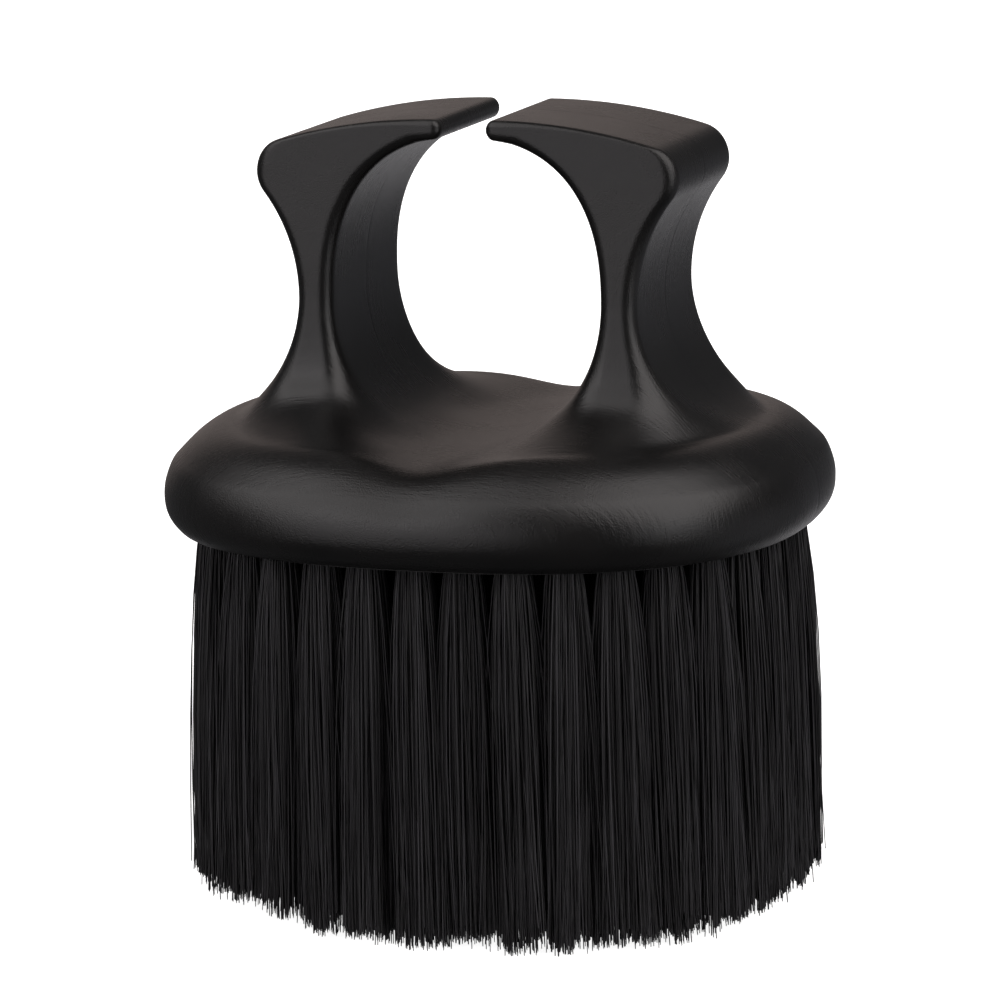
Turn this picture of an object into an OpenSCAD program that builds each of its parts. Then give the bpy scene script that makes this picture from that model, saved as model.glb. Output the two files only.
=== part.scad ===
// Neck duster brush with an open finger ring, in millimetres.
// The bristle tips lie in the plane Z = 0 under the middle of the body. X runs across the
// finger ring, from prong to prong, and Y runs along the finger that goes through it.

/* [Body] */
// Width of the oval body, across the finger ring
body_w = 95; // [90:1:110]
// Depth of the oval body, along the finger
body_d = 85; // [82:1:100]
// Squareness of the oval, where 2 is a true ellipse
oval_power = 2.45; // [2.2:0.05:2.8]
// Height of the rim's top edge above the board's underside
body_h = 15.4; // [14.4:0.1:16.4]
// Height of the rim's widest line above the board's underside
rim_mid_h = 5.4; // [5:0.1:6]
// How far the rim's top lies inside its widest line
rim_top_in = 9.5; // [8.5:0.1:10]
// Roundness of the rim's upper half, where 2 is an ellipse and less is more sloping
rim_power = 1.85; // [1.5:0.05:2.2]
// How far the rim's foot lies inside its widest line
rim_foot_in = 2; // [1.5:0.1:2.6]
// Depth of the dip where the ring's saddle meets the rim
saddle_dip = 2.2; // [0:0.1:2.5]

/* [Finger ring] */
// Inner width of the finger ring at the waist
ring_w = 39.8; // [38:0.2:42]
// Height of the ring from the waist down to the saddle
ring_low_h = 20; // [19.8:0.1:20.6]
// Height of the ring from the waist up to its roof
ring_high_h = 23.1; // [22:0.1:24]
// Open gap between the two prong tips
ring_gap = 6.6; // [3:0.2:9]

/* [Prongs] */
// Thickness of a prong at the waist, across the ring
waist_t = 5.3; // [4.5:0.1:6.5]
// Depth of a prong at the waist, along the finger
prong_d = 30; // [24:0.5:32]
// Depth that a prong loses for each millimetre of height
prong_taper = 0.1; // [0:0.01:0.15]
// Edge radius of the prongs
edge_r = 2; // [1:0.1:2.4]
// Radius of the outer corner at the top of a prong
corner_r = 4.75; // [4:0.05:5.5]
// Distance of the outer corner's centre from the middle plane
corner_x = 26.6; // [26:0.1:28]
// Height of the outer corner's centre above the waist
corner_h = 17.9; // [17:0.1:18.5]
// Slope of the ramp between a prong's front or back and the rim
flare_slope = 0.23; // [0.15:0.01:0.3]

/* [Bristles] */
// Free length of the bristles below the board
bristle_len = 54; // [40:0.2:65]
// Diameter of a tuft at its root, and of its hole
tuft_d = 4.7; // [4:0.1:5]
// Diameter of a tuft at its tip
tip_d = 6.7; // [5:0.1:6.7]
// How much further apart the tufts are at their tips
splay = 1.04; // [1.04:0.005:1.1]
// Depth of the tuft holes
hole_depth = 6.2; // [5:0.1:6.5]
// Distance from one ring of tufts to the next
row_step = 6.6; // [6.5:0.05:6.65]

/* [Hidden] */
half_w = body_w / 2;
half_d = body_d / 2;
ring_half = ring_w / 2;

// Heights
board_z = bristle_len;
waist_h = 33.5;
lip_h = 0.5;
foot_z = board_z + lip_h;
rim_z = board_z + rim_mid_h;
top_z = board_z + body_h;
waist_z = board_z + waist_h;
floor_z = waist_z - ring_low_h;

// Board and the space for it under the body
board_in = 3.3;
board_gap = 0.1;
lip_in = 3.8;
board_h = 7.5;
board_top_z = board_z + board_h;
pocket_in = 13.5;
pocket_h = 10.2;
pocket_top_z = board_z + pocket_h;
pocket_draft = 1;

// Prong shape
shoulder_w = 22;
base_corner_r = 12;
flare_z = waist_z - 15.2;
flare_soft = 10;
dip_w = 6.5;
join_angle = 20;
saddle_power = 3;
saddle_sink = 0.1;
foot_power = 2.6;
low_power = 2.1;
high_power = 2.4;
low_end = 62;
nose_r = 1.35;
nose_flat = 0.9;
tip_h = 2.65;
tip_round = 0.45;
tip_x = ring_gap / 2 + nose_r;
outer_x = ring_half + waist_t;
corner_off = corner_x - outer_x;
scoop_r = (corner_off ^ 2 + corner_h ^ 2 - corner_r ^ 2) / (2 * (corner_r + corner_off));
scoop_end = atan2(corner_h, outer_x + scoop_r - corner_x);
crown_z = waist_z + ring_high_h + tip_h;
crown_drop = crown_z - waist_z - corner_h;
crown_r = ((corner_x - tip_x) ^ 2 + crown_drop ^ 2 - corner_r ^ 2) / (2 * (crown_drop - corner_r));
crown_end = atan2(corner_x - tip_x, crown_r - crown_drop);
inner_end = acos(pow(tip_x / ring_half, high_power / 2));

// Shares of a prong's outer curve that end the scoop and the round corner
scoop_v = 0.42;
corner_v = 0.64;

// Points round a prong's section: two walls, two faces and four corners
wall_n = 6;
face_n = 4;
turn_n = 4;
wall_span = wall_n + turn_n;
section_n = 2 * (wall_n + face_n) + 4 * turn_n;
arc_n = section_n - wall_span;
oval_n = 2 * arc_n;
low_steps = 14;
high_steps = 24;
nose_angles = [75, 50, 25];
rim_angles = [34 : 14 : 90];
foot_steps = [0.35, 0.6, 0.8, 0.92, 1];

// Tufts
tuft_in = 7;
tuft_n = [35, 28, 22, 16, 10];
tuft_phase = 0.88;
row_n = len(tuft_n);
middle_step = 7.5;
tuft_fn = 20;
core_fn = 14;
hole_fn = 32;
root_overlap = 1;
root_gap = 0.2;
root_swell = 0.3;
disc_t = 0.05;
staple_t = 0.4;
staple_w = 4.3;
staple_h = 2;
staple_gap = 0.1;
fold_h = 0.8;
staple_z = board_z + hole_depth - staple_h - fold_h;

outer_tufts = [for (i = [1 : tuft_n[0]]) str("outer_tuft_", i)];
inner_rows = [for (r = [2 : row_n + 1]) str("tuft_row_", r)];
staple_rows = [for (r = [1 : row_n + 1]) str("staple_row_", r)];

// ---- Curves ----

// A point on an oval with half axes a and b, at parameter t
function oval(a, b, t) =
    let (p = 2 / oval_power)
    [a * sign(cos(t)) * pow(abs(cos(t)), p), b * sign(sin(t)) * pow(abs(sin(t)), p)];

// The body's oval, moved inwards
function body_oval(inset, t) = oval(half_w - inset, half_d - inset, t);

function prong_depth(z) = prong_d - prong_taper * (z - waist_z);

// Height of the rim's top edge, which dips where the saddle meets it
function rim_top(x) = top_z - saddle_dip * exp(-pow(x / dip_w, 2));

// ---- Prong sections ----

function arc(c, r, a0, a1, n) = [for (i = [0 : n - 1])
    let (a = a0 + (a1 - a0) * i / n) [c[0] + r * cos(a), c[1] + r * sin(a)]];

function line(p, q, n) = [for (i = [0 : n - 1]) p + (q - p) * i / n];

// A rounded rectangle from x0 to x1 and from -h to h, starting in the middle of its inner
// front corner and running up the inner wall
function section(x0, x1, h, r) =
    let (a = x0 + r, b = x1 - r, k = h - r, q = turn_n / 2)
    concat(
        arc([a, -k], r, 225, 180, q), line([x0, -k], [x0, k], wall_n),
        arc([a, k], r, 180, 90, turn_n), line([a, h], [b, h], face_n),
        arc([b, k], r, 90, 0, turn_n), line([x1, k], [x1, -k], wall_n),
        arc([b, -k], r, 0, -90, turn_n), line([b, -h], [a, -h], face_n),
        arc([a, -k], r, 270, 225, q));

// Half the depth of the rim's top at x
function edge_half_depth(x) =
    let (share = min(abs(x) / (half_w - rim_top_in), 1))
    (half_d - rim_top_in) * pow(1 - pow(share, oval_power), 1 / oval_power);

// How far a prong's front stands out at a height: a steep face, a tight turn, a gentle ramp
function flare_at(drop) = (drop + sqrt(drop ^ 2 + 4 * flare_slope * flare_soft)) / (2 * flare_slope);
function flare(z) = flare_at(flare_z - z) - flare_at(flare_z - waist_z);

// Below the waist the sections are level and open out into the body, and their front and
// back sweep out towards the rim
function low_ring(angle) =
    let (
        drop = sin(angle),
        z = waist_z - ring_low_h * drop,
        inner = ring_half * pow(1 - pow(drop, low_power), 1 / low_power),
        outer = outer_x + shoulder_w * (1 - cos(angle)),
        sweep = min(flare(z) / flare(top_z), 1),
        half = prong_depth(z) / 2,
        r = edge_r + (base_corner_r - edge_r) * drop ^ 3)
    [for (p = section(inner, outer, half, r))
        [p[0], p[1] * (1 + sweep * max(edge_half_depth(p[0]) / half - 1, 0)), z]];

// Points of the ring's inner curve and of the prong's outer curve, at v from 0 at the waist
// to 1 at the tip. The outer curve is a finger scoop, a round corner and a gentle crown.
function inner_point(v) =
    let (a = inner_end * v, p = 2 / high_power)
    [ring_half * pow(cos(a), p), waist_z + ring_high_h * pow(sin(a), p)];

function outer_point(v) =
    v < scoop_v ?
        let (a = scoop_end * v / scoop_v)
        [outer_x + scoop_r - scoop_r * cos(a), waist_z + scoop_r * sin(a)]
    : v < corner_v ?
        let (f = (v - scoop_v) / (corner_v - scoop_v), a = -scoop_end + (90 - crown_end + scoop_end) * f)
        [corner_x + corner_r * cos(a), waist_z + corner_h + corner_r * sin(a)]
    :
        let (a = crown_end * (1 - v) / (1 - corner_v))
        [tip_x + crown_r * sin(a), crown_z - crown_r * (1 - cos(a))];

// Above the waist the sections follow the hook round to the tip
function high_ring(v) =
    let (p = inner_point(v), q = outer_point(v), len_pq = norm(q - p), dir = (q - p) / len_pq)
    [for (s = section(0, len_pq, prong_d / 2, min(edge_r, tip_round * len_pq)))
        let (z = p[1] + dir[1] * s[0])
        [p[0] + dir[0] * s[0], s[1] * prong_depth(z) / prong_d, z]];

// The tip's rounded nose: the last section, shrunk as it moves forwards
function nose_ring(angle) =
    let (mid_z = (inner_point(1)[1] + outer_point(1)[1]) / 2, back = 1 - cos(angle))
    [for (p = high_ring(1)) [
        p[0] - nose_r * sin(angle),
        p[1] * (1 - 2 * nose_r * back / prong_d),
        mid_z + (p[2] - mid_z) * (1 - nose_flat * back)]];

// Inset and height of the rim's upper half, at an angle from 0 on its top to 90 on its
// widest line
function rim_inset(angle) = rim_top_in * (1 - pow(sin(angle), 2 / rim_power));
function rim_height(angle, x) = rim_z + (rim_top(x) - rim_z) * pow(cos(angle), 2 / rim_power);

function rim_point(angle, t) =
    let (p = body_oval(rim_inset(angle), t))
    [p[0], p[1], rim_height(angle, body_oval(rim_top_in, t)[0])];

// Where one prong's points join the rim, closed by a line through the saddle
function edge_ring() =
    let (front = rim_point(join_angle, -90))
    [for (j = [0 : section_n - 1])
        j < wall_span && j > 0 ?
            let (s = 2 * j / wall_span - 1)
            [0, -front[1] * s,
                front[2] + (floor_z - saddle_sink - front[2]) * (1 - pow(abs(s), saddle_power))]
        :
            rim_point(join_angle, 90 - (j == 0 ? arc_n : j - wall_span) * 180 / arc_n)];

prong_rings = concat(
    [for (a = nose_angles) nose_ring(a)],
    [for (i = [high_steps : -1 : 1]) high_ring(i / high_steps)],
    [for (i = [0 : low_steps]) low_ring(low_end * i / low_steps)],
    [edge_ring()]);
ring_count = len(prong_rings);

// ---- Rim, foot and the hollow underside, as full ovals ----

function oval_ring(inset, z) = [for (k = [0 : oval_n - 1])
    let (p = body_oval(inset, 90 - k * 180 / arc_n)) [p[0], p[1], z]];

function rim_ring(angle) = [for (k = [0 : oval_n - 1]) rim_point(angle, 90 - k * 180 / arc_n)];

body_rings = concat(
    [for (a = rim_angles) rim_ring(a)],
    [for (f = foot_steps) oval_ring(rim_foot_in * pow(f, foot_power), rim_z + (foot_z - rim_z) * f)],
    [
        oval_ring(board_in, foot_z),
        oval_ring(board_in, board_top_z),
        oval_ring(pocket_in, board_top_z),
        oval_ring(pocket_in + pocket_draft, pocket_top_z)
    ]);
body_count = len(body_rings);

// ---- Handle: one moulding with both prongs ----

function mirrored(ring) = [for (p = ring) [-p[0], p[1], p[2]]];

handle_points = concat(
    [for (r = prong_rings) each r],
    [for (r = prong_rings) each mirrored(r)],
    [for (r = body_rings) each r]);

// Index of a prong point. Both sides share the line through the saddle.
function prong_index(side, ring, j) =
    let (k = j % section_n, shared = ring == ring_count - 1 && k <= wall_span)
    (shared ? 0 : side) * ring_count * section_n + ring * section_n + k;

// Index of a body point. Ring -1 is the rim's top edge, which the prong rings hold.
function body_index(ring, k) =
    let (m = k % oval_n)
    ring < 0 ?
        (m <= arc_n ? prong_index(0, ring_count - 1, wall_span + m)
            : prong_index(1, ring_count - 1, section_n + arc_n - m))
        : 2 * ring_count * section_n + ring * oval_n + m;

function quad(a, b, c, d) = [[a, b, c], [a, c, d]];

function flip(faces) = [for (f = faces) [for (i = [len(f) - 1 : -1 : 0]) f[i]]];

function prong_skin(side) = [for (r = [0 : ring_count - 2], j = [0 : section_n - 1])
    each quad(prong_index(side, r, j), prong_index(side, r, j + 1),
        prong_index(side, r + 1, j + 1), prong_index(side, r + 1, j))];

handle_faces = concat(
    flip(prong_skin(0)),
    prong_skin(1),
    [[for (j = [0 : section_n - 1]) prong_index(0, 0, j)]],
    flip([[for (j = [0 : section_n - 1]) prong_index(1, 0, j)]]),
    flip([for (r = [-1 : body_count - 2], k = [0 : oval_n - 1])
        each quad(body_index(r, k), body_index(r, k + 1), body_index(r + 1, k + 1), body_index(r + 1, k))]),
    [[for (k = [0 : oval_n - 1]) body_index(body_count - 1, oval_n - 1 - k)]]);

module handle() {
    color("#1b1a1b")
        polyhedron(points = handle_points, faces = handle_faces, convexity = 8);
}

// ---- Tuft places: rings of equal steps round ovals, and three in the middle ----

steps = 360;

function lengths(path, i = 1, sum = [0]) =
    i == len(path) ? sum : lengths(path, i + 1, concat(sum, [sum[i - 1] + norm(path[i] - path[i - 1])]));

function along(path, sums, d) =
    let (i = search_step(sums, d, 0, len(sums) - 1), f = (d - sums[i]) / (sums[i + 1] - sums[i]))
    path[i] + (path[i + 1] - path[i]) * f;

function search_step(sums, d, lo, hi) =
    hi - lo <= 1 ? lo
    : let (mid = floor((lo + hi) / 2)) sums[mid] <= d ? search_step(sums, d, mid, hi)
    : search_step(sums, d, lo, mid);

function ring_places(r) =
    let (
        path = [for (i = [0 : steps]) body_oval(tuft_in + r * row_step, -90 + i * 360 / steps)],
        sums = lengths(path),
        n = tuft_n[r])
    [for (i = [0 : n - 1]) along(path, sums, sums[steps] * (i + tuft_phase) / n)];

middle_places = [for (i = [-1 : 1]) [middle_step * i, 0]];
places = concat([for (r = [0 : row_n - 1]) ring_places(r)], [middle_places]);

// Direction of the ring of tufts at a place, which its staple lies along
function heading(p) = atan2(p[1], p[0]) + 90;

// ---- Tuft board ----

module oval_plate(inset, z0, z1) {
    translate([0, 0, z0])
        linear_extrude(z1 - z0)
            polygon([for (i = [0 : 2 : 358]) body_oval(inset, i)]);
}

module tuft_board() {
    color("#232223")
        difference() {
            union() {
                oval_plate(board_in + board_gap, foot_z, board_top_z - board_gap);
                oval_plate(lip_in, board_z, foot_z);
            }
            for (row = places, p = row)
                translate([p[0], p[1], board_z - root_overlap])
                    cylinder(d = tuft_d, h = hole_depth + root_overlap, $fn = hole_fn);
        }
}

// ---- Bristle tufts: a folded root in its hole, and a free length that spreads ----

module tuft(p, fn) {
    difference() {
        translate([p[0], p[1], board_z - root_overlap])
            cylinder(d = tuft_d, h = hole_depth - root_gap + root_overlap, $fn = fn);
        translate([p[0], p[1], staple_z + staple_h / 2])
            rotate([0, 0, heading(p)])
                cube([tuft_d + 1, staple_t + staple_gap, staple_h + staple_gap], center = true);
    }
    hull() {
        translate([p[0], p[1], board_z - disc_t])
            cylinder(d = tuft_d + root_swell, h = disc_t, $fn = fn);
        translate([splay * p[0], splay * p[1], 0])
            cylinder(d = tip_d, h = disc_t, $fn = fn);
    }
}

module outer_tuft(i) {
    color("#1d1d1f")
        tuft(places[0][i - 1], tuft_fn);
}

module tuft_row(r) {
    color("#1a1a1c")
        for (p = places[r - 1])
            tuft(p, core_fn);
}

// ---- Staples: one flat wire across each fold, pressed into the board's hole ----

module staple_row(r) {
    color("#b9b7b2")
        for (p = places[r - 1])
            translate([p[0], p[1], staple_z + staple_h / 2])
                rotate([0, 0, heading(p)])
                    cube([staple_w, staple_t, staple_h], center = true);
}

handle();
tuft_board();
for (i = [1 : tuft_n[0]])
    outer_tuft(i);
for (r = [2 : row_n + 1])
    tuft_row(r);
for (r = [1 : row_n + 1])
    staple_row(r);
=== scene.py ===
"""Looks of the neck duster brush: one moulded handle with a finger ring, the tuft board under it,
and black nylon tufts. Lengths are in millimetres until a mesh is made, in the CAD part's frame."""

import math

import bmesh
import bpy
import numpy as np
from mathutils import Matrix, Vector


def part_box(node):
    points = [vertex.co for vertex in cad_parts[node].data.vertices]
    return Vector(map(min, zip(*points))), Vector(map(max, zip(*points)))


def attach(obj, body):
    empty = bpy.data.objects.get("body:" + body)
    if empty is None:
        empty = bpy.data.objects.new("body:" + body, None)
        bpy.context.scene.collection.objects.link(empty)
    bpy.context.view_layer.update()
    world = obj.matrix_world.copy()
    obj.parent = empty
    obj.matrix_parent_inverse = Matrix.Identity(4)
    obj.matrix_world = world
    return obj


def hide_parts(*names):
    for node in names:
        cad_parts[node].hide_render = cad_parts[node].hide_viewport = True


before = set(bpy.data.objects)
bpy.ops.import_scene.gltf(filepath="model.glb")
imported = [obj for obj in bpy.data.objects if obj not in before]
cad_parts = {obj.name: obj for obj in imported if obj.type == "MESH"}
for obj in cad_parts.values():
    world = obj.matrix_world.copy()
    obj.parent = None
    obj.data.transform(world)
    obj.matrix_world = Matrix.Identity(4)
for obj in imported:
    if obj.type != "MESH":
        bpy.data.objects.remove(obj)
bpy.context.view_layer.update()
MM = 0.001
rng = np.random.default_rng(20)


def sizes(node):
    """Lowest and highest corner of a CAD node, in millimetres."""
    lo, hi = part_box(node)
    return np.array(lo) / MM, np.array(hi) / MM


# ---- Camera ----

AIM = np.array([-0.231, 0.0, 56.368])
AZIMUTH, ELEVATION, ROLL = 19.0, 11.372, 1.328
DISTANCE = 729.0
LENS, SENSOR = 181.5, 36.0
CLIP_START, CLIP_END = 0.02, 60.0  # metres


def direction(azimuth, elevation):
    """Unit vector from the object outwards. Azimuth 0 is the front, -Y, and 90 is +X."""
    a, e = math.radians(azimuth), math.radians(elevation)
    return np.array([math.sin(a) * math.cos(e), -math.cos(a) * math.cos(e), math.sin(e)])


def make_camera():
    back = direction(AZIMUTH, ELEVATION)
    right = direction(AZIMUTH + 90, 0)
    up = np.cross(back, right)
    roll = math.radians(ROLL)
    turned_right = right * math.cos(roll) - up * math.sin(roll)
    turned_up = up * math.cos(roll) + right * math.sin(roll)
    camera = bpy.data.objects.new("camera", bpy.data.cameras.new("camera"))
    bpy.context.scene.collection.objects.link(camera)
    axes = Matrix([list(v) for v in (turned_right, turned_up, back)]).transposed()
    camera.matrix_world = Matrix.Translation(Vector((AIM + back * DISTANCE) * MM)) @ axes.to_4x4()
    camera.data.sensor_width = SENSOR
    camera.data.lens = LENS
    camera.data.clip_start, camera.data.clip_end = CLIP_START, CLIP_END
    bpy.context.scene.camera = camera


make_camera()

# ---- Driving dimensions, from the frame ----

handle_lo, handle_hi = sizes("handle")
board_lo, board_hi = sizes("tuft_board")
HALF_W, HALF_D = handle_hi[0], handle_hi[1]
OVAL_POWER = 2.45
BOARD_Z = board_lo[2]
FOOT_Z = handle_lo[2]
RIM_MID_H, POCKET_H, BODY_H, WAIST_H, BOARD_GAP = 5.4, 10.2, 15.4, 33.5, 0.1
RIM_Z = BOARD_Z + RIM_MID_H
TOP_Z = BOARD_Z + BODY_H
WAIST_Z = BOARD_Z + WAIST_H
BOARD_TOP_Z = board_hi[2] + BOARD_GAP
POCKET_TOP_Z = BOARD_Z + POCKET_H
RIM_TOP_IN, RIM_FOOT_IN, BOARD_IN, POCKET_IN, POCKET_DRAFT = 9.5, 2.0, 3.3, 13.5, 1.0
SADDLE_DIP, DIP_W, SADDLE_POWER, SADDLE_BELOW = 2.2, 6.5, 3, 0.1
RIM_POWER, FOOT_POWER = 1.85, 2.6

RING_HALF, RING_LOW_H, RING_HIGH_H = 19.9, 20.0, 23.1
LOW_POWER, HIGH_POWER = 2.1, 2.4
FLOOR_Z = WAIST_Z - RING_LOW_H
WAIST_T, GAP_HALF = 5.3, 3.3
OUTER_X = RING_HALF + WAIST_T
PRONG_D, PRONG_TAPER = 30.0, 0.1
SHOULDER_W = 22.0
FLARE_DROP, FLARE_SLOPE, FLARE_SOFT = 15.2, 0.23, 10.0
FLARE_TURN_Z = WAIST_Z - FLARE_DROP
EDGE_R, CROWN_EDGE_R, BASE_CORNER_R = 2.0, 1.0, 12.0
NOSE_R, NOSE_FLATTEN = 1.35, 0.9
TIP_X = GAP_HALF + NOSE_R
CORNER_X, CORNER_H, CORNER_R = 26.6, 17.9, 4.75
CROWN_Z = handle_hi[2]


# ---- Mesh helpers ----

def superellipse(half_x, half_y, t, power):
    c, s = np.cos(t), np.sin(t)
    return np.stack([
        half_x * np.sign(c) * np.abs(c) ** (2 / power),
        half_y * np.sign(s) * np.abs(s) ** (2 / power)], -1)


def body_oval(inset, t):
    return superellipse(HALF_W - inset, HALF_D - inset, t, OVAL_POWER)


def clustered(s, power=1.7):
    """Spreads -1..1 so that the steps are fine near 0, where the parting line runs."""
    return np.sign(s) * np.abs(s) ** power


def lengths_along(path):
    """Distance from a path's first point to each of its points."""
    steps = np.linalg.norm(np.diff(path, axis=0), axis=1)
    return np.concatenate([[0], np.cumsum(steps)])


def smooth_step(x, lo, hi):
    t = np.clip((x - lo) / (hi - lo), 0, 1)
    return t * t * (3 - 2 * t)


# ---- Handle: sections of a prong, from the tip down to the rim's top edge ----

WALL_N, FACE_N, TURN_N = 24, 16, 12
SPAN = WALL_N + TURN_N
SECTION_N = 2 * (WALL_N + FACE_N) + 4 * TURN_N
ARC_N = SECTION_N - SPAN


def arc(cx, cy, r, a0, a1, n):
    a = np.radians(a0 + (a1 - a0) * np.arange(n) / n)
    return np.stack([cx + r * np.cos(a), cy + r * np.sin(a)], -1)


def section(x0, x1, h, inner_r, outer_r):
    """A rounded rectangle from x0 to x1 and from -h to h, from the middle of its inner front
    corner up the inner wall and round. Returns one row of (x, y) per point."""
    a, b = x0 + inner_r, x1 - outer_r
    ki, ko = h - inner_r, h - outer_r
    half = TURN_N // 2
    wall = clustered(np.linspace(-1, 1, WALL_N, endpoint=False))
    face = np.arange(FACE_N) / FACE_N
    return np.concatenate([
        arc(a, -ki, inner_r, 225, 180, half),
        np.stack([np.full(WALL_N, x0), wall * ki], -1),
        arc(a, ki, inner_r, 180, 90, TURN_N),
        np.stack([a + (b - a) * face, np.full(FACE_N, h)], -1),
        arc(b, ko, outer_r, 90, 0, TURN_N),
        np.stack([np.full(WALL_N, x1), -wall * ko], -1),
        arc(b, -ko, outer_r, 0, -90, TURN_N),
        np.stack([b + (a - b) * face, np.full(FACE_N, -h)], -1),
        arc(a, -ki, inner_r, 270, 225, half)])


def prong_depth(z):
    return PRONG_D - PRONG_TAPER * (z - WAIST_Z)


def edge_half_depth(x):
    """Half the depth of the rim's top edge at x."""
    share = np.clip(np.abs(x) / (HALF_W - RIM_TOP_IN), 0, 1)
    return (HALF_D - RIM_TOP_IN) * (1 - share ** OVAL_POWER) ** (1 / OVAL_POWER)


def flare(z):
    """How far a prong's front stands out: a steep face, a tight turn, then a gentle ramp."""
    def out(drop):
        return (drop + math.sqrt(drop ** 2 + 4 * FLARE_SLOPE * FLARE_SOFT)) / (2 * FLARE_SLOPE)
    return out(FLARE_TURN_Z - z) - out(FLARE_TURN_Z - WAIST_Z)


def low_ring(angle):
    """A level section below the waist. It opens out into the body, and its front and back
    sweep out towards the rim's top edge."""
    drop = math.sin(angle)
    z = WAIST_Z - RING_LOW_H * drop
    inner = RING_HALF * (1 - drop ** LOW_POWER) ** (1 / LOW_POWER)
    outer = OUTER_X + SHOULDER_W * (1 - math.cos(angle))
    sweep = min(flare(z) / flare(TOP_Z), 1)
    r = EDGE_R + (BASE_CORNER_R - EDGE_R) * drop ** 3
    half = prong_depth(z) / 2
    flat = section(inner, outer, half, r, r)
    flat[:, 1] *= 1 + sweep * np.maximum(edge_half_depth(flat[:, 0]) / half - 1, 0)
    return np.column_stack([flat, np.full(len(flat), z)])


SCOOP_V, CORNER_V = 0.42, 0.64
CROWN_EDGE_FROM, CROWN_EDGE_TO, EDGE_SHARE = 0.5, CORNER_V + 0.04, 0.45
corner_off = CORNER_X - OUTER_X
SCOOP_R = (corner_off ** 2 + CORNER_H ** 2 - CORNER_R ** 2) / (2 * (CORNER_R + corner_off))
SCOOP_END = math.atan2(CORNER_H, OUTER_X + SCOOP_R - CORNER_X)
crown_drop = CROWN_Z - WAIST_Z - CORNER_H
crown_run = CORNER_X - TIP_X
CROWN_R = (crown_run ** 2 + crown_drop ** 2 - CORNER_R ** 2) / (2 * (crown_drop - CORNER_R))
CROWN_END = math.atan2(crown_run, CROWN_R - crown_drop)
INNER_END = math.acos((TIP_X / RING_HALF) ** (HIGH_POWER / 2))


def inner_point(v):
    """A point of the ring's inner curve, at v from 0 at the waist to 1 at the tip."""
    a = INNER_END * v
    return np.array([
        RING_HALF * math.cos(a) ** (2 / HIGH_POWER),
        WAIST_Z + RING_HIGH_H * math.sin(a) ** (2 / HIGH_POWER)])


def outer_point(v):
    """A point of the prong's outer curve: finger scoop, round corner, gentle crown."""
    if v < SCOOP_V:
        a = SCOOP_END * v / SCOOP_V
        return np.array([
            OUTER_X + SCOOP_R * (1 - math.cos(a)), WAIST_Z + SCOOP_R * math.sin(a)])
    if v < CORNER_V:
        f = (v - SCOOP_V) / (CORNER_V - SCOOP_V)
        a = -SCOOP_END + (math.pi / 2 - CROWN_END + SCOOP_END) * f
        return np.array([
            CORNER_X + CORNER_R * math.cos(a), WAIST_Z + CORNER_H + CORNER_R * math.sin(a)])
    a = CROWN_END * (1 - v) / (1 - CORNER_V)
    return np.array([TIP_X + CROWN_R * math.sin(a), CROWN_Z - CROWN_R * (1 - math.cos(a))])


def high_ring(v):
    """A section square to the hook, which follows it round to the tip."""
    p, q = inner_point(v), outer_point(v)
    length = np.linalg.norm(q - p)
    along = (q - p) / length
    finer = smooth_step(v, CROWN_EDGE_FROM, CROWN_EDGE_TO)
    outer_r = EDGE_R + (CROWN_EDGE_R - EDGE_R) * finer
    flat = section(0, length, PRONG_D / 2, min(EDGE_R, EDGE_SHARE * length), outer_r)
    z = p[1] + along[1] * flat[:, 0]
    return np.column_stack([
        p[0] + along[0] * flat[:, 0], flat[:, 1] * prong_depth(z) / PRONG_D, z])


def nose_ring(angle):
    """The tip's rounded end: the last section, shrunk as it moves forwards."""
    ring = high_ring(1)
    mid_z = (inner_point(1)[1] + outer_point(1)[1]) / 2
    back = 1 - math.cos(angle)
    return np.column_stack([
        ring[:, 0] - NOSE_R * math.sin(angle),
        ring[:, 1] * (1 - 2 * NOSE_R * back / PRONG_D),
        mid_z + (ring[:, 2] - mid_z) * (1 - NOSE_FLATTEN * back)])


def rim_top(x):
    """Height of the rim's top edge, which dips where the saddle meets it."""
    return TOP_Z - SADDLE_DIP * np.exp(-((x / DIP_W) ** 2))


# The oval's angle at each column that runs over the rim, in equal steps of length from the
# middle of the back to the middle of the front, finer where the parting line crosses
FINE_N = 2001
fine_t = np.linspace(math.pi / 2, -math.pi / 2, FINE_N)
fine_oval = body_oval(0, fine_t)
fine_len = lengths_along(fine_oval)
column_s = np.linspace(-1, 1, ARC_N + 1)
wall_s = WALL_N / ARC_N
near = np.abs(column_s) < wall_s
column_s[near] = wall_s * clustered(column_s[near] / wall_s)
COLUMN_T = np.interp((column_s + 1) / 2, fine_len / fine_len[-1], fine_t)


RIM_JOIN, JOIN_STEP = math.radians(20), 0.01
SADDLE_S = clustered(np.linspace(-1, 1, SPAN + 1), power=1.3)
ARRIVAL_TURN = 0.45


def rim_ring(a):
    """The rim at a, from 0 on its top to pi / 2 on its widest line: one point per column."""
    inset = RIM_TOP_IN * (1 - math.sin(a) ** (2 / RIM_POWER))
    top = rim_top(body_oval(RIM_TOP_IN, COLUMN_T)[:, 0])
    z = RIM_Z + (top - RIM_Z) * math.cos(a) ** (2 / RIM_POWER)
    return np.column_stack([body_oval(inset, COLUMN_T), z])


def edge_ring():
    """Where the prongs' columns join the rim on one side, closed by a line through the saddle."""
    edge = rim_ring(RIM_JOIN)
    s = SADDLE_S[1:-1]
    low = edge[0, 2]
    z = low + (FLOOR_Z - SADDLE_BELOW - low) * (1 - np.abs(s) ** SADDLE_POWER)
    saddle = np.column_stack([np.zeros(SPAN - 1), edge[0, 1] * s, z])
    return np.concatenate([edge[-1:], saddle, edge[:-1]])


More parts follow.
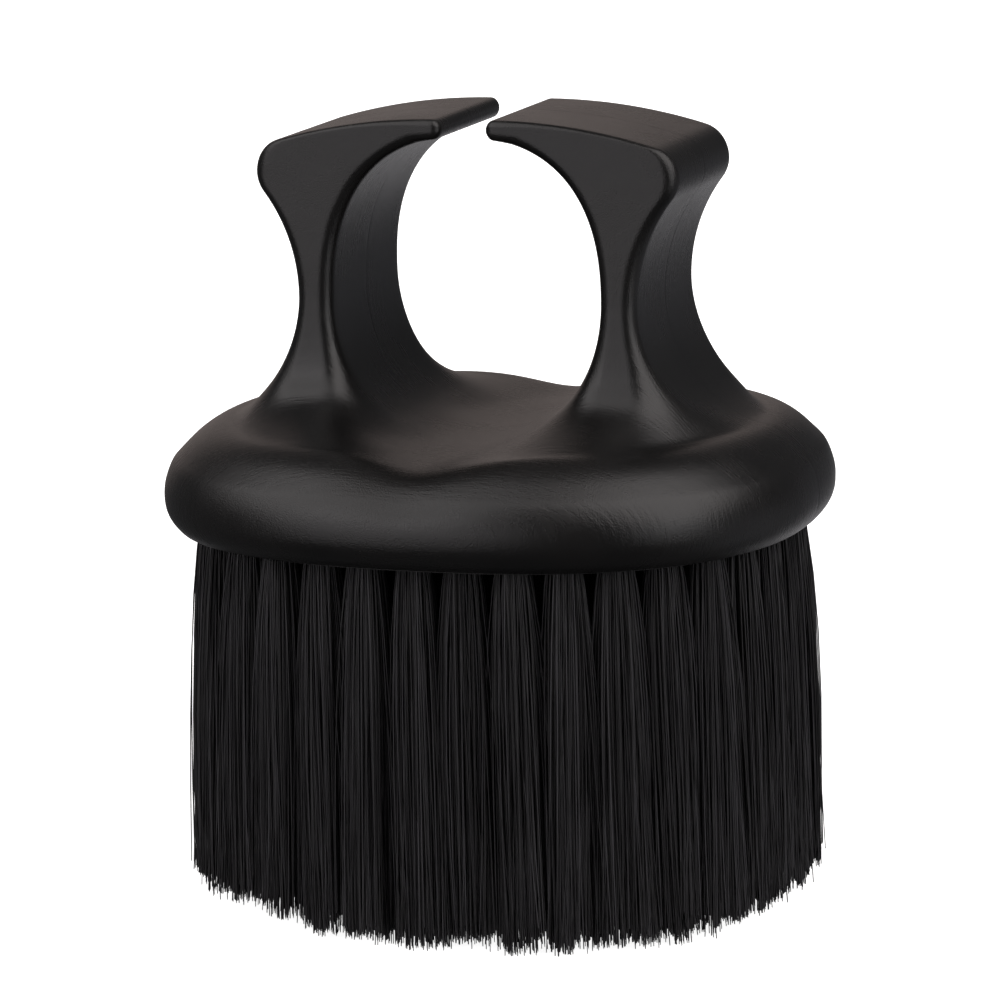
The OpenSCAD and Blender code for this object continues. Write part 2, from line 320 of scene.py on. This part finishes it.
def arrivals():
    """Direction in which each column arrives at the edge ring."""
    s = SADDLE_S[:-1]
    turn = smooth_step(np.abs(s), ARRIVAL_TURN, 1) * math.pi / 2
    ways = np.zeros((SECTION_N, 3))
    ways[:SPAN, 0], ways[:SPAN, 1] = -np.cos(turn), np.sign(s) * np.sin(turn)
    out = rim_ring(RIM_JOIN + JOIN_STEP) - rim_ring(RIM_JOIN - JOIN_STEP)
    out /= np.linalg.norm(out, axis=1)[:, None]
    ways[0], ways[SPAN:] = out[-1], out[:-1]
    return ways


LOW_END = math.radians(62)


def fillet_rings(n):
    """Curves from the last level section to the rim's top edge, level where they arrive."""
    start, end = low_ring(LOW_END), edge_ring()
    before = low_ring(LOW_END - JOIN_STEP)
    chord = np.linalg.norm(end - start, axis=1)[:, None]
    leave = start - before
    leave *= chord / np.linalg.norm(leave, axis=1)[:, None]
    arrive = arrivals() * chord
    rings = []
    for s in np.linspace(0, 1, n + 1)[1:]:
        rings.append(
            start * (2 * s ** 3 - 3 * s ** 2 + 1) + leave * (s ** 3 - 2 * s ** 2 + s)
            + end * (3 * s ** 2 - 2 * s ** 3) + arrive * (s ** 3 - s ** 2))
    return rings


def half_oval_ring(inset, z):
    """A level half of the oval: one point per column."""
    flat = body_oval(inset, COLUMN_T)
    return np.column_stack([flat, np.full(len(flat), z)])


HIGH_RINGS, LOW_RINGS, FILLET_RINGS, RIM_RINGS, FOOT_RINGS = 72, 48, 18, 24, 16
NOSE_ANGLES = (88, 78, 66, 54, 42, 30, 20, 10)
FOOT_CUT, FOOT_SIDE, FOOT_RISE = 0.15, 0.06, 0.04


def rim_rings():
    """The rim from its top edge over its widest line to its foot, then the hollow underside."""
    rings = [rim_ring(a) for a in np.linspace(RIM_JOIN, math.pi / 2, RIM_RINGS + 1)[1:]]
    for f in np.linspace(0, 1, FOOT_RINGS + 1)[1:]:
        rings.append(half_oval_ring(
            (RIM_FOOT_IN - FOOT_CUT) * f ** FOOT_POWER, RIM_Z + (FOOT_Z + FOOT_CUT - RIM_Z) * f))
    for inset, z in (
            (RIM_FOOT_IN - FOOT_SIDE, FOOT_Z + FOOT_RISE), (RIM_FOOT_IN + FOOT_SIDE, FOOT_Z),
            (BOARD_IN, FOOT_Z), (BOARD_IN, BOARD_TOP_Z),
            (POCKET_IN, BOARD_TOP_Z), (POCKET_IN + POCKET_DRAFT, POCKET_TOP_Z)):
        rings.append(half_oval_ring(inset, z))
    return rings


def handle_half():
    """Points and faces of the side with x >= 0. Its open edges lie in the plane x = 0."""
    prong = [nose_ring(a) for a in np.radians(NOSE_ANGLES)]
    prong += [high_ring(v) for v in np.linspace(1, 0, HIGH_RINGS + 1)[:-1]]
    prong += [low_ring(a) for a in np.linspace(0, LOW_END, LOW_RINGS + 1)]
    prong += fillet_rings(FILLET_RINGS)
    rows = np.arange(len(prong))[:, None] * SECTION_N
    index = np.column_stack([rows + np.arange(SECTION_N)[None, :], rows])
    faces = []
    for r in range(len(prong) - 1):
        for j in range(SECTION_N):
            faces.append((index[r, j], index[r, j + 1], index[r + 1, j + 1], index[r + 1, j]))
    points = list(prong)
    tip_centre = len(prong) * SECTION_N
    points.append(prong[0].mean(0)[None, :])
    faces += [(tip_centre, index[0, j + 1], index[0, j]) for j in range(SECTION_N)]
    upper = np.concatenate([index[-1, SPAN:SECTION_N], index[-1, :1]])
    base = tip_centre + 1
    for ring in rim_rings():
        lower = base + np.arange(ARC_N + 1)
        faces += [(upper[k], upper[k + 1], lower[k + 1], lower[k]) for k in range(ARC_N)]
        points.append(ring)
        upper, base = lower, base + ARC_N + 1
    points.append(np.array([[0, 0, POCKET_TOP_Z]]))
    faces += [(upper[k], upper[k + 1], base) for k in range(ARC_N)]
    return np.concatenate(points), [tuple(int(i) for i in f) for f in faces]


# The zone that is relaxed lies above the rim's widest line, below the flare's turn, and far
# enough out in depth or width. Each pair is where that limit's fade begins and ends
SOFTEN_TURNS, SOFTEN_STEP = 36, 0.5
SOFT_LOW, SOFT_HIGH = (RIM_Z + 4.5, RIM_Z + 6.5), (FLARE_TURN_Z - 1, FLARE_TURN_Z + 4)
SOFT_DEEP, SOFT_WIDE = (14, 24), (30, 36)


def soften(bm):
    """Relaxes the mesh where the saddle and the prongs' feet roll over into the rim."""
    bm.verts.ensure_lookup_table()
    co = np.array([v.co for v in bm.verts]) / MM
    ends = np.array([(e.verts[0].index, e.verts[1].index) for e in bm.edges])
    weight = (
        smooth_step(co[:, 2], *SOFT_LOW) * (1 - smooth_step(co[:, 2], *SOFT_HIGH))
        * np.maximum(
            smooth_step(np.abs(co[:, 1]), *SOFT_DEEP), smooth_step(np.abs(co[:, 0]), *SOFT_WIDE)))
    links = np.zeros(len(co))
    for side in (0, 1):
        np.add.at(links, ends[:, side], 1)
    for _ in range(SOFTEN_TURNS):
        total = np.zeros_like(co)
        np.add.at(total, ends[:, 0], co[ends[:, 1]])
        np.add.at(total, ends[:, 1], co[ends[:, 0]])
        co += SOFTEN_STEP * weight[:, None] * (total / links[:, None] - co)
    for v, place in zip(bm.verts, co):
        v.co = place * MM


# The parting line: a fine groove where the handle crosses y = 0, which fades on the saddle
GROOVE, GROOVE_FADE_Z, GROOVE_FADE_H, GROOVE_LOW_Z = 0.03, TOP_Z + 1.6, 10, RIM_Z - 4
WELD, SLIVER, ON_PLANE = 2e-6, 1e-7, 1e-7  # metres


def build_handle(material):
    points, faces = handle_half()
    other = points * np.array([-1, 1, 1])
    count = len(points)
    all_faces = faces + [tuple(count + i for i in reversed(f)) for f in faces]
    mesh = bpy.data.meshes.new("handle_moulding")
    mesh.from_pydata((np.concatenate([points, other]) * MM).tolist(), [], all_faces)
    bm = bmesh.new()
    bm.from_mesh(mesh)
    bmesh.ops.remove_doubles(bm, verts=bm.verts, dist=WELD)
    bmesh.ops.dissolve_degenerate(bm, edges=bm.edges, dist=SLIVER)
    bmesh.ops.recalc_face_normals(bm, faces=bm.faces)
    soften(bm)
    bm.normal_update()
    for v in bm.verts:
        if abs(v.co.y) < ON_PLANE and v.co.z / MM > GROOVE_LOW_Z:
            saddle = abs(v.co.x) / MM < RING_HALF
            fade = smooth_step(v.co.z / MM, GROOVE_FADE_Z, GROOVE_FADE_Z + GROOVE_FADE_H)
            depth = GROOVE * (fade if saddle else 1)
            v.co -= v.normal * float(depth) * MM
    bm.to_mesh(mesh)
    bm.free()
    mesh.shade_smooth()
    mesh.materials.append(material)
    piece = bpy.data.objects.new("handle_moulding", mesh)
    bpy.context.scene.collection.objects.link(piece)
    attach(piece, "root")
    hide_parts("handle")


# ---- Bristles: separate nylon filaments, folded into one bundle per hole ----

TUFT_N, TUFT_PHASE = [35, 28, 22, 16, 10], 0.88
TUFT_IN, ROW_STEP, MIDDLE_STEP = 7.0, 6.6, 7.5
ROOT_R, SPLAY, ROOT_DEPTH = 2.35, 1.04, 1.5
PATH_N = 361


def ring_places(r):
    """Centres of the tufts of ring r, spread evenly along it."""
    t = np.linspace(-math.pi / 2, 3 * math.pi / 2, PATH_N)
    path = body_oval(TUFT_IN + r * ROW_STEP, t)
    length = lengths_along(path)
    want = length[-1] * (np.arange(TUFT_N[r]) + TUFT_PHASE) / TUFT_N[r]
    return np.column_stack([np.interp(want, length, path[:, i]) for i in (0, 1)])


# A filament: its number of sides, its radius, how it thins at the tip, and how its rings bunch
# up towards the root
SIDES, THIN_R, THICK_R, TIP_SHARE, RING_POWER = 3, 0.085, 0.115, 0.75, 1.4
# A tuft opens by FAN times its root, most of it within FAN_REACH of its length
FAN, FAN_REACH = 0.8, 0.24
# Filaments gather into locks, which lean and end at their own heights
LOCKS, GATHER, LOCK_LEAN, LOCK_LIFT, LOCK_LIFT_SPREAD = 13, 0.42, 0.5, 0.4, 0.7
TUFT_LEAN, STRAND_LEAN, STRAND_BOW = 0.55, 0.85, 0.32
STRAY_SHARE, STRAY_LEAN = 0.05, 2.2
POINT_RISE, STRAND_RISE, RISE_MAX = 1.2, 0.45, 6
# The bristles' lower edge: shorter towards the left, and at both ends of the oval
LEFT_LIFT, LEFT_FROM, LEFT_TO = 2.4, 12.0, 28.0
EDGE_LIFT, EDGE_FROM, EDGE_RUN = 1.3, 38.0, 6.0
REACH_IN, REACH_GIVE = 3.0, 0.25


def inside(xy):
    """Pulls places that stand out too far back towards the bristles' outer oval."""
    share = (np.abs(xy[:, 0]) / (HALF_W - REACH_IN)) ** OVAL_POWER
    share += (np.abs(xy[:, 1]) / (HALF_D - REACH_IN)) ** OVAL_POWER
    share = share ** (1 / OVAL_POWER)
    return xy * (np.where(share > 1, 1 + REACH_GIVE * (share - 1), share) / share)[:, None]


def over_root(count):
    """Random places, spread evenly over a tuft's root."""
    a, r = rng.uniform(0, 2 * math.pi, count), ROOT_R * np.sqrt(rng.uniform(0, 1, count))
    return np.stack([r * np.cos(a), r * np.sin(a)], -1)


def strands(centre, count, segments):
    """Filaments of one tuft: points, four-sided faces, tip faces, and a shade per point."""
    offset = over_root(count)
    root = centre + offset
    middles = over_root(LOCKS)
    gap = np.linalg.norm(offset[:, None] - middles[None], axis=2)
    lock = np.argmin(gap, axis=1)
    pull = (middles[lock] - offset) * (1 + FAN)
    lock_lean = rng.normal(0, LOCK_LEAN, (LOCKS, 2))
    lock_lift = rng.normal(LOCK_LIFT, LOCK_LIFT_SPREAD, LOCKS)
    tuft_lean = rng.normal(0, TUFT_LEAN, 2)
    own_lean = rng.normal(0, STRAND_LEAN, (count, 2))
    lean = tuft_lean + lock_lean[lock] + GATHER * pull + own_lean
    stray = rng.uniform(0, 1, count) < STRAY_SHARE
    lean[stray] += rng.normal(0, STRAY_LEAN, (stray.sum(), 2))
    tip = inside(centre * SPLAY + offset * (1 + FAN) + lean)
    drift = tip - root - offset * FAN
    bow = rng.normal(0, STRAND_BOW, (count, 2))
    lift = (
        LEFT_LIFT * smooth_step(-tip[:, 0], LEFT_FROM, LEFT_TO)
        + EDGE_LIFT * np.clip((np.abs(tip[:, 0]) - EDGE_FROM) / EDGE_RUN, 0, 1))
    own_rise = np.abs(rng.normal(0, STRAND_RISE, count))
    rise = POINT_RISE * np.linalg.norm(pull, axis=1) + own_rise
    tip_z = lift + np.clip(lock_lift[lock] + rise, 0, RISE_MAX)
    radius = rng.uniform(THIN_R, THICK_R, count)
    s = np.linspace(0, 1, segments + 1) ** RING_POWER
    fan = FAN * (1 - np.exp(-s / FAN_REACH))
    path_xy = (
        root[:, None] + offset[:, None] * fan[None, :, None] + drift[:, None] * s[None, :, None]
        + bow[:, None] * (4 * s * (1 - s))[None, :, None])
    root_z = BOARD_Z + ROOT_DEPTH
    path_z = root_z + (tip_z[:, None] - root_z) * s[None, :]
    taper = np.where(s < 1, 1, TIP_SHARE)
    twist = rng.uniform(0, 2 * math.pi, count)
    corner = twist[:, None] + np.arange(SIDES)[None, :] * 2 * math.pi / SIDES
    ring = np.stack([np.cos(corner), np.sin(corner)], -1) * radius[:, None, None]
    xy = path_xy[:, :, None, :] + ring[:, None, :, :] * taper[None, :, None, None]
    z = np.broadcast_to(path_z[:, :, None, None], xy.shape[:3] + (1,))
    rings = np.concatenate([xy, z], -1)
    points = np.concatenate([rings, rings[:, -1:]], 1).reshape(-1, 3)
    each = (segments + 2) * SIDES
    shade = np.repeat(rng.uniform(0, 1, count), each)
    side = np.arange(SIDES)
    first = np.arange(segments)[:, None] * SIDES
    here, beside = (first + side).ravel(), (first + (side + 1) % SIDES).ravel()
    quads = np.stack([here, here + SIDES, beside + SIDES, beside], -1)
    base = np.arange(count)[:, None, None] * each
    faces = (base + quads[None]).reshape(-1, 4)
    end = (segments + 1) * SIDES  # the tip's own copy of the last ring keeps its edge sharp
    tips = base[:, 0] + np.array([[end + 2, end + 1, end]])
    return points, faces, tips, shade


def bristle_piece(name, node, centres, count, segments, material):
    """One piece of filaments that stands for one CAD node."""
    all_points, quads, tris, shades = [], [], [], []
    start = 0
    for centre in centres:
        points, faces, tips, shade = strands(centre, count, segments)
        all_points.append(points)
        quads.append(faces + start)
        tris.append(tips + start)
        shades.append(shade)
        start += len(points)
    points = np.concatenate(all_points) * MM
    quads, tris = np.concatenate(quads), np.concatenate(tris)
    mesh = bpy.data.meshes.new(name)
    mesh.vertices.add(len(points))
    mesh.vertices.foreach_set("co", points.astype(np.float32).ravel())
    mesh.loops.add(4 * len(quads) + 3 * len(tris))
    mesh.loops.foreach_set(
        "vertex_index", np.concatenate([quads.ravel(), tris.ravel()]).astype(np.int32))
    mesh.polygons.add(len(quads) + len(tris))
    starts = np.concatenate([4 * np.arange(len(quads)), 4 * len(quads) + 3 * np.arange(len(tris))])
    mesh.polygons.foreach_set("loop_start", starts.astype(np.int32))
    mesh.update(calc_edges=True)
    mesh.shade_smooth()
    attribute = mesh.attributes.new("shade", "FLOAT", "POINT")
    attribute.data.foreach_set("value", np.concatenate(shades).astype(np.float32))
    mesh.materials.append(material)
    piece = bpy.data.objects.new(name, mesh)
    bpy.context.scene.collection.objects.link(piece)
    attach(piece, "root")
    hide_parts(node)


# ---- Materials ----

def new_material(name):
    material = bpy.data.materials.new(name)
    material.use_nodes = True
    nodes = material.node_tree.nodes
    shader = next(n for n in nodes if n.type == "BSDF_PRINCIPLED")
    return material, nodes, material.node_tree.links, shader


def noise(nodes, links, coords, scale, detail=2.0, stretch=(1, 1, 1)):
    """A noise texture in object space. Its scale is in features per millimetre."""
    mapping = nodes.new("ShaderNodeMapping")
    mapping.inputs["Scale"].default_value = stretch
    links.new(coords, mapping.inputs["Vector"])
    texture = nodes.new("ShaderNodeTexNoise")
    texture.inputs["Scale"].default_value = scale / MM
    texture.inputs["Detail"].default_value = detail
    links.new(mapping.outputs["Vector"], texture.inputs["Vector"])
    return texture.outputs["Fac"]


def ramp(nodes, links, value, stops):
    """A colour ramp. stops are (position, (r, g, b))."""
    node = nodes.new("ShaderNodeValToRGB")
    elements = node.color_ramp.elements
    while len(elements) < len(stops):
        elements.new(0.5)
    for element, (place, colour) in zip(elements, stops):
        element.position = place
        element.color = (*colour, 1)
    links.new(value, node.inputs["Fac"])
    return node.outputs["Color"]


def grey(v):
    return (v, v, v)


def map_range(nodes, links, value, low, high, from_low=0.0, from_high=1.0):
    node = nodes.new("ShaderNodeMapRange")
    node.inputs["From Min"].default_value = from_low
    node.inputs["From Max"].default_value = from_high
    node.inputs["To Min"].default_value = low
    node.inputs["To Max"].default_value = high
    links.new(value, node.inputs["Value"])
    return node.outputs["Result"]


def bump(nodes, links, height, distance, below=None):
    """A full-strength bump, distance millimetres high, on top of the one below."""
    node = nodes.new("ShaderNodeBump")
    node.inputs["Strength"].default_value = 1.0
    node.inputs["Distance"].default_value = distance * MM
    links.new(height, node.inputs["Height"])
    if below is not None:
        links.new(below, node.inputs["Normal"])
    return node.outputs["Normal"]


GLOSS_SPREAD, SCRATCH_SHARE, SCRATCH_MIX, SCRATCH_STRETCH = 0.06, 0.9, 0.35, (0.08, 1.0, 0.08)


def moulded_plastic(name, dark, light, roughness, grain):
    """Satin black plastic with spark-eroded grain, cloudy gloss and fine handling scratches."""
    material, nodes, links, shader = new_material(name)
    coords = nodes.new("ShaderNodeTexCoord").outputs["Object"]
    clouds = noise(nodes, links, coords, scale=0.06, detail=3)
    links.new(ramp(nodes, links, clouds, [(0.35, dark), (0.7, light)]), shader.inputs["Base Color"])
    grain_height = noise(nodes, links, coords, scale=5, detail=1.5)
    scratches = noise(nodes, links, coords, scale=2.8, stretch=SCRATCH_STRETCH)
    mix = nodes.new("ShaderNodeMath")
    mix.operation = "MULTIPLY_ADD"
    links.new(scratches, mix.inputs[0])
    mix.inputs[1].default_value = SCRATCH_MIX
    links.new(clouds, mix.inputs[2])
    links.new(
        map_range(
            nodes, links, mix.outputs[0], low=roughness - GLOSS_SPREAD,
            high=roughness + GLOSS_SPREAD, from_low=0.4, from_high=0.95),
        shader.inputs["Roughness"])
    normal = bump(nodes, links, grain_height, grain)
    normal = bump(nodes, links, scratches, grain * SCRATCH_SHARE, below=normal)
    links.new(normal, shader.inputs["Normal"])
    shader.inputs["IOR"].default_value = 1.5
    return material


ALONG_MIX = 0.5


def nylon(name):
    """Black nylon filament: each one its own shade, with a soft gloss."""
    material, nodes, links, shader = new_material(name)
    attribute = nodes.new("ShaderNodeAttribute")
    attribute.attribute_name = "shade"
    coords = nodes.new("ShaderNodeTexCoord").outputs["Object"]
    along = noise(nodes, links, coords, scale=0.12, stretch=(1, 1, 0.5))
    add = nodes.new("ShaderNodeMath")
    add.operation = "MULTIPLY_ADD"
    links.new(along, add.inputs[0])
    add.inputs[1].default_value = ALONG_MIX
    links.new(attribute.outputs["Fac"], add.inputs[2])
    links.new(
        ramp(nodes, links, add.outputs[0], [
            (0.25, (0.012, 0.0115, 0.0125)), (0.8, (0.019, 0.0185, 0.020)),
            (1.0, (0.046, 0.045, 0.049))]),
        shader.inputs["Base Color"])
    links.new(
        map_range(nodes, links, attribute.outputs["Fac"], low=0.52, high=0.3),
        shader.inputs["Roughness"])
    shader.inputs["IOR"].default_value = 1.53
    return material


def steel(name):
    """Drawn steel wire, brushed along its length."""
    material, nodes, links, shader = new_material(name)
    coords = nodes.new("ShaderNodeTexCoord").outputs["Object"]
    lines = noise(nodes, links, coords, scale=3, stretch=(1, 1, 0.1))
    links.new(
        ramp(nodes, links, lines, [(0.3, grey(0.42)), (0.7, grey(0.56))]),
        shader.inputs["Base Color"])
    links.new(map_range(nodes, links, lines, low=0.28, high=0.42), shader.inputs["Roughness"])
    shader.inputs["Metallic"].default_value = 1.0
    return material


def pale_studio(name):
    """Plain pale surface for the floor, with a little light of its own."""
    material, nodes, links, shader = new_material(name)
    shader.inputs["Base Color"].default_value = (0.85, 0.85, 0.85, 1)
    shader.inputs["Roughness"].default_value = 0.9
    shader.inputs["Emission Color"].default_value = (1, 1, 1, 1)
    shader.inputs["Emission Strength"].default_value = 0.92
    return material


# ---- Light: a dim studio with broad soft panels, seen in the gloss ----

def world_light(ambient, panels):
    """A dim world with soft round panels. panels are (azimuth, elevation, reach, soft, colour),
    where reach is the half angle to the panel's faded edge and soft is that edge's width."""
    world = bpy.data.worlds.new("studio")
    bpy.context.scene.world = world
    world.use_nodes = True
    nodes, links = world.node_tree.nodes, world.node_tree.links
    background = next(n for n in nodes if n.type == "BACKGROUND")
    coords = nodes.new("ShaderNodeTexCoord").outputs["Generated"]
    base = nodes.new("ShaderNodeCombineXYZ")
    for axis, level in zip("XYZ", ambient):
        base.inputs[axis].default_value = level
    total = base.outputs["Vector"]
    for azimuth, elevation, reach, soft, colour in panels:
        dot = nodes.new("ShaderNodeVectorMath")
        dot.operation = "DOT_PRODUCT"
        links.new(coords, dot.inputs[0])
        dot.inputs[1].default_value = direction(azimuth, elevation)
        spread = nodes.new("ShaderNodeMapRange")
        spread.interpolation_type = "SMOOTHSTEP"
        spread.inputs["From Min"].default_value = math.cos(math.radians(reach))
        spread.inputs["From Max"].default_value = math.cos(math.radians(max(reach - soft, 0)))
        links.new(dot.outputs["Value"], spread.inputs["Value"])
        add = nodes.new("ShaderNodeVectorMath")
        add.operation = "MULTIPLY_ADD"
        links.new(spread.outputs["Result"], add.inputs[0])
        add.inputs[1].default_value = colour
        links.new(total, add.inputs[2])
        total = add.outputs["Vector"]
    links.new(total, background.inputs["Color"])
    background.inputs["Strength"].default_value = 1.0


def studio_floor(material):
    """A pale floor that curves up into a wall all round, so that every view is even."""
    radius, rise, wall_top, turns = 9000.0, 2500.0, 6000.0, 96
    bend = np.radians(np.linspace(10, 90, 9))
    profile = [(0.0, 0.0), (radius - rise, 0.0)]
    profile += [
        (radius - rise + rise * math.sin(a), rise - rise * math.cos(a)) for a in bend]
    profile.append((radius, wall_top))
    points = [(0, 0, 0)]
    for r, z in profile[1:]:
        points += [
            (r * math.cos(a), r * math.sin(a), z)
            for a in np.linspace(0, 2 * math.pi, turns, endpoint=False)]
    faces = [(0, 1 + k, 1 + (k + 1) % turns) for k in range(turns)]
    for ring in range(len(profile) - 2):
        low = 1 + ring * turns
        faces += [
            (low + k, low + turns + k, low + turns + (k + 1) % turns, low + (k + 1) % turns)
            for k in range(turns)]
    mesh = bpy.data.meshes.new("studio_floor")
    mesh.from_pydata([[c * MM for c in p] for p in points], [], faces)
    mesh.shade_smooth()
    mesh.materials.append(material)
    floor = bpy.data.objects.new("studio_floor", mesh)
    bpy.context.scene.collection.objects.link(floor)
    floor.visible_glossy = False
    floor.visible_diffuse = False
    floor.visible_shadow = False


# ---- Put together ----

plastic = moulded_plastic(
    "black_plastic", dark=(0.006, 0.0058, 0.0057), light=(0.010, 0.0094, 0.009),
    roughness=0.26, grain=0.045)
board_plastic = moulded_plastic(
    "board_plastic", dark=grey(0.007), light=grey(0.011), roughness=0.5, grain=0.03)
filament = nylon("black_nylon")
wire = steel("staple_wire")

build_handle(plastic)
for node, cad_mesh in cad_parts.items():
    if node == "tuft_board" or node.startswith("staple_row"):
        cad_mesh.data.materials.clear()
        cad_mesh.data.materials.append(board_plastic if node == "tuft_board" else wire)

# Filaments per tuft, and rings of quads along each
OUTER_COUNT, OUTER_SEGMENTS = 400, 6
ROW_COUNT, ROW_SEGMENTS = 210, 5
for i, centre in enumerate(ring_places(0)):
    node = f"outer_tuft_{i + 1}"
    bristle_piece(node + "_bristles", node, [centre], OUTER_COUNT, OUTER_SEGMENTS, filament)
for r in range(1, len(TUFT_N) + 1):
    node = f"tuft_row_{r + 1}"
    if r < len(TUFT_N):
        centres = ring_places(r)
    else:
        centres = np.array([[MIDDLE_STEP * i, 0.0] for i in (-1, 0, 1)])
    bristle_piece(node + "_bristles", node, centres, ROW_COUNT, ROW_SEGMENTS, filament)

world_light((0.06, 0.06, 0.063), [
    (-25, 6, 34, 18, (0.93, 0.89, 0.91)),
    (-48, 45, 40, 16, (1.25, 1.20, 1.20)),
    (-80, 40, 30, 24, (0.30, 0.29, 0.29)),
    (75, 47, 43, 18, (1.9, 1.80, 1.78)),
    (68, 2, 24, 14, (1.1, 1.08, 1.1)),
    (-152, 14, 30, 19, (0.235, 0.192, 0.175)),
    (-168, 31, 18, 12, (0.10, 0.082, 0.075)),
    (-170, -30, 28, 20, (0.34, 0.33, 0.34)),
    (161, -15, 25, 17, (0.045, 0.045, 0.05)),
    (112, -22, 34, 22, (0.16, 0.16, 0.172)),
])
studio_floor(pale_studio("pale_studio"))

bpy.context.scene.view_settings.view_transform = "Standard"
